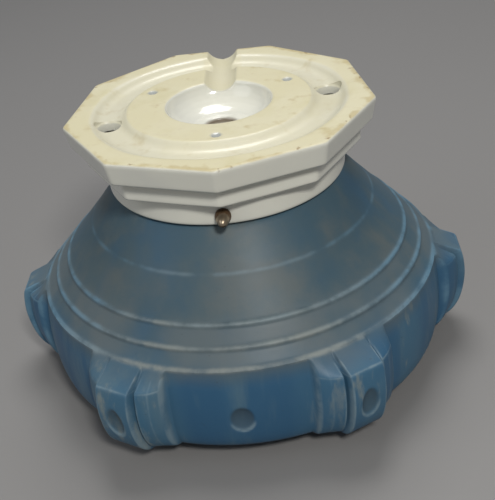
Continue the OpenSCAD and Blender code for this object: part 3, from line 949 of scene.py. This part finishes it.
def porcelain_finish():
    glaze = Finish(
        "white_glazed_porcelain", IOR=1.52, Coat_IOR=1.5, Coat_Roughness=0.05
    )
    bare = glaze.mask("bare")
    rim = glaze.mask("rim")
    wide = glaze.noise(26.0, 3.0)
    fine = glaze.noise(240.0, 4.0, 0.6)
    blots = glaze.noise(95.0, 3.0, 0.62)
    white = glaze.mix(glaze.between(wide, 0.38, 0.66), (0.74, 0.73, 0.64), (0.68, 0.675, 0.605))
    cream = glaze.mix(
        glaze.between(wide, 0.36, 0.64), (0.62, 0.560, 0.335), (0.66, 0.61, 0.41)
    )
    cream = glaze.mix(glaze.between(fine, 0.5, 0.72) * 0.35, cream, (0.58, 0.51, 0.34))
    colour = glaze.mix(bare * (0.72 + 0.28 * wide), white, cream)
    stain = glaze.between(blots + rim * 0.18, 0.56, 0.76) * bare
    colour = glaze.mix(stain * 0.55, colour, (0.44, 0.34, 0.14))
    tan = glaze.between(glaze.noise(34.0, 4.0, 0.6), 0.50, 0.68) * bare
    colour = glaze.mix(tan * 0.3, colour, (0.50, 0.44, 0.20))
    chips = glaze.between(glaze.noise(310.0, 2.0, 0.5) + rim * 0.1, 0.70, 0.78) * rim
    colour = glaze.mix(chips * 0.75, colour, (0.25, 0.16, 0.07))
    # Painted shade in the cove under the slab
    colour = glaze.mix(glaze.mask("under") * 0.25, colour, (0.50, 0.46, 0.36))
    # Painted shadow and dirt darken the collar under the step and the wire hole's rim
    seat = glaze.mask("seat") * glaze.between(glaze.noise(60.0, 3.0), 0.22, 0.5)
    colour = glaze.mix(seat * 0.85, colour, (0.11, 0.065, 0.028))
    colour = glaze.mix(glaze.mask("marks") * 0.6, colour, (0.22, 0.25, 0.26))
    glaze.bump(wide * 0.6 + fine * 0.12 * bare, 0.25, 0.0006)
    return glaze.paint(
        Base_Color=colour,
        Roughness=0.14 + bare * (0.34 + 0.14 * fine),
        Coat_Weight=0.6 - bare * 0.55,
    )


def blue_glass_finish():
    glass = Finish(
        "frosted_blue_pressed_glass",
        IOR=1.5,
        Specular_IOR_Level=0.32,
        Coat_IOR=1.4,
        Coat_Roughness=0.34,
    )
    height = glass.node("ShaderNodeSeparateXYZ", {}, {0: glass.place()}, "Z")
    forward = glass.node("ShaderNodeSeparateXYZ", {}, {0: glass.place()}, "Y")
    cloud = glass.noise(22.0, 3.0, 0.55)
    mottle = glass.noise(70.0, 4.0, 0.6)
    streak = glass.noise(62.0, 4.0, 0.62, (1, 1, 0.16))
    broad_streak = glass.noise(24.0, 3.0, 0.6, (1, 1, 0.22))
    speck = glass.noise(520.0, 2.0, 0.5)
    # The upper part has lost most of its colour, and the band and lugs have kept it
    band = glass.between(height + cloud * 0.008, -0.0615, -0.0745)
    thin = glass.mix(
        glass.between(cloud, 0.36, 0.66), (0.056, 0.104, 0.136), (0.080, 0.118, 0.134)
    )
    thin = glass.mix(glass.between(mottle, 0.50, 0.72) * 0.4, thin, (0.108, 0.130, 0.130))
    patch = glass.noise(36.0, 5.0, 0.62)
    thin = glass.mix(glass.between(patch, 0.48, 0.68) * 0.5, thin, (0.120, 0.136, 0.132))
    thin = glass.mix(glass.between(patch, 0.50, 0.36) * 0.5, thin, (0.044, 0.098, 0.144))
    blue_left = glass.between(broad_streak, 0.50, 0.68) * 0.5
    thin = glass.mix(blue_left, thin, (0.040, 0.108, 0.185))
    deep = glass.mix(
        glass.between(broad_streak, 0.36, 0.62), (0.030, 0.104, 0.196), (0.052, 0.140, 0.222)
    )
    deep = glass.mix(glass.between(streak, 0.50, 0.68) * 0.6, deep, (0.095, 0.170, 0.220))
    wisps = glass.between(glass.noise(120.0, 5.0, 0.62, (1, 1, 0.3)), 0.52, 0.66)
    wisps = wisps * glass.between(broad_streak, 0.44, 0.58)
    deep = glass.mix(wisps * 0.75, deep, (0.235, 0.265, 0.245))
    colour = glass.mix(band, thin, deep)
    terraces = glass.between(height, -0.0545, -0.0605) * (1 - band)
    colour = glass.mix(
        terraces * glass.between(cloud, 0.36, 0.6) * 0.6, colour, (0.124, 0.152, 0.164)
    )
    # The ridge and lug edges are painted paler, partly wear and partly painted highlight, beige
    # at the front of the ridges and pale blue elsewhere
    wear_and_highlight = glass.mask("wear_and_highlight") * (0.45 + 0.8 * glass.between(mottle, 0.34, 0.62))
    beige = glass.between(forward + cloud * 0.06, -0.005, -0.055)
    lower = glass.between(height, -0.0712, -0.0740)
    edge_tone = glass.mix(
        beige * (1 - 0.6 * lower), (0.125, 0.245, 0.340), (0.29, 0.305, 0.275)
    )
    colour = glass.mix(glass.between(wear_and_highlight, 0.1, 1.05) * 0.8, colour, edge_tone)
    # Painted shade inside the dimples
    colour = glass.mix(glass.mask("hollow") * 0.7, colour, (0.055, 0.085, 0.105))
    colour = glass.mix(glass.between(speck, 0.72, 0.78) * 0.25, colour, (0.04, 0.04, 0.035))
    colour = glass.mix(glass.mask("within") * 0.8, colour, (0.22, 0.28, 0.31))
    glass.bump(mottle * 0.5 + speck * 0.35 + streak * 0.5 * band, 0.22, 0.0005)
    return glass.paint(
        Base_Color=colour,
        Roughness=0.44 + 0.16 * mottle,
        Coat_Weight=0.16 - 0.12 * cloud,
    )


def aged_brass_finish():
    metal = Finish("dark_brown_brass", IOR=1.45)
    grime = metal.noise(420.0, 4.0, 0.6)
    nose = metal.mask("nose")
    dark = metal.mix(
        metal.between(grime, 0.35, 0.65), (0.075, 0.040, 0.018), (0.17, 0.10, 0.05)
    )
    # Wear and a painted highlight make the nose and the head's upper side lighter
    bright = metal.between(nose + grime * 0.8, 0.62, 1.15)
    colour = metal.mix(bright * 0.75, dark, (0.50, 0.41, 0.30))
    metal.bump(grime, 0.35, 0.0003)
    return metal.paint(
        Base_Color=colour, Metallic=0.55 + 0.3 * bright, Roughness=0.52 - 0.18 * bright
    )


def turned_metal(name, low, high, roughness):
    metal = Finish(name, Metallic=1.0)
    spots = metal.noise(180.0, 4.0, 0.6)
    brush = metal.noise(900.0, 2.0, 0.5, (1, 1, 3))
    metal.bump(brush, 0.12, 0.0001)
    return metal.paint(
        Base_Color=metal.mix(metal.between(spots, 0.38, 0.68), high, low),
        Roughness=roughness + 0.18 * spots,
    )


def socket_porcelain_finish():
    glaze = Finish("socket_porcelain_glaze", IOR=1.52, Coat_Weight=0.3, Coat_Roughness=0.08)
    wide = glaze.noise(60.0, 3.0)
    fine = glaze.noise(400.0, 3.0)
    colour = glaze.mix(glaze.between(wide, 0.35, 0.65), (0.60, 0.52, 0.38), (0.70, 0.66, 0.56))
    colour = glaze.mix(glaze.between(fine, 0.6, 0.75) * 0.3, colour, (0.28, 0.20, 0.12))
    glaze.bump(wide, 0.2, 0.0004)
    return glaze.paint(Base_Color=colour, Roughness=0.22 + 0.15 * fine)


def black_glass_finish():
    glass = Finish("black_vitrified_glass", IOR=1.5)
    fine = glass.noise(500.0, 3.0)
    glass.bump(fine, 0.15, 0.0002)
    return glass.paint(
        Base_Color=glass.mix(fine, (0.010, 0.010, 0.013), (0.035, 0.032, 0.036)),
        Roughness=0.12 + 0.2 * fine,
    )


def clear_glass_finish():
    glass = Finish("clear_lamp_glass", IOR=1.5, Transmission_Weight=1.0)
    dust = glass.noise(90.0, 4.0)
    return glass.paint(
        Base_Color=glass.mix(dust, (0.97, 0.98, 0.98), (0.90, 0.92, 0.92)),
        Roughness=0.02 + 0.06 * dust,
    )


def dress(node_name, material):
    """Gives a CAD node a material in every slot."""
    slots = nodes[node_name].data.materials
    for i in range(len(slots)):
        slots[i] = material
    if not slots:
        slots.append(material)


# ---- The pieces ----

holder = make_holder()
holder.data.materials.append(porcelain_finish())
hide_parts("porcelain_holder")
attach(holder, "holder")

shade = make_shade()
shade.data.materials.append(blue_glass_finish())
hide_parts("glass_shade")
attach(shade, "shade")

aged_brass = aged_brass_finish()
for place, azimuth_deg in SCREW_AZIMUTHS.items():
    screw = make_screw(f"bullet_screw_{place}", azimuth_deg)
    screw.data.materials.append(aged_brass)
    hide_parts(f"shade_screw_{place}")
    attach(screw, f"screw_{place}")

finishes = {
    "brass": turned_metal("stamped_brass", (0.42, 0.27, 0.10), (0.72, 0.50, 0.22), 0.28),
    "steel": turned_metal("nickel_plate", (0.36, 0.35, 0.33), (0.62, 0.61, 0.58), 0.24),
    "socket_porcelain": socket_porcelain_finish(),
    "black_glass": black_glass_finish(),
    "bulb_glass": clear_glass_finish(),
}
for entry in record["subparts"]:
    if entry["material_slot"] in finishes:
        dress(entry["node"], finishes[entry["material_slot"]])

# ---- Floor, light and camera ----

FLOOR_SIZE = 12
FLOOR_CENTRE_Y = 2.0
FLOOR_GAP = 0.0002
floor_z = cad_low[2] - FLOOR_GAP
bpy.ops.mesh.primitive_plane_add(size=FLOOR_SIZE, location=(0, FLOOR_CENTRE_Y, floor_z))
floor = bpy.context.object
floor.name = "pale_floor"
surface = Finish("pale_floor_paint", IOR=1.45)
floor.data.materials.append(
    surface.paint(
        Base_Color=surface.mix(
            surface.noise(2.0, 2.0), (0.232, 0.225, 0.220), (0.246, 0.239, 0.234)
        ),
        Roughness=0.55,
    )
)


# The point that every light faces, in metres
LIT_POINT = Vector((0, 0, -0.05))


def soft_box(name, place, size, power, tint):
    light = bpy.data.lights.new(name, "AREA")
    light.shape = "DISK"
    light.size = size
    light.energy = power
    light.color = tint
    lamp = bpy.data.objects.new(name, light)
    lamp.location = place
    lamp.rotation_euler = (LIT_POINT - Vector(place)).to_track_quat("-Z", "Y").to_euler()
    bpy.context.scene.collection.objects.link(lamp)


soft_box("key", (0.22, -0.72, 0.66), 0.16, 5.7, (1.0, 0.985, 0.95))
soft_box("overhead", (0.05, 0.42, 1.00), 0.6, 6.9, (1.0, 0.995, 0.98))
soft_box("fill", (-0.9, -0.5, 0.6), 0.9, 2.2, (0.95, 0.98, 1.0))

world = bpy.data.worlds.new("room")
world.use_nodes = True
backdrop = next(n for n in world.node_tree.nodes if n.type == "BACKGROUND")
backdrop.inputs["Color"].default_value = (0.80, 0.84, 0.90, 1)
backdrop.inputs["Strength"].default_value = 0.22
bpy.context.scene.world = world

# Where the photograph was taken from, and the way it looks
EYE = Vector((0.02943, -0.36300, 0.14897))
RIGHT = Vector((0.99400, 0.00412, -0.10925))
UP = Vector((0.09127, 0.51880, 0.85001))
FORWARD = Vector((-0.06018, 0.85489, -0.51531))
FOCAL_MM = 70.79
FILM_MM = 36.0
lens = bpy.data.cameras.new("camera")
lens.sensor_fit = "VERTICAL"
lens.sensor_height = FILM_MM
lens.lens = FOCAL_MM
lens.clip_start = 0.01
camera = bpy.data.objects.new("camera", lens)
camera.matrix_world = Matrix.Translation(EYE) @ Matrix(
    (RIGHT, UP, -FORWARD)
).transposed().to_4x4()
bpy.context.scene.collection.objects.link(camera)
bpy.context.scene.camera = camera
bpy.context.scene.view_settings.view_transform = "Standard"
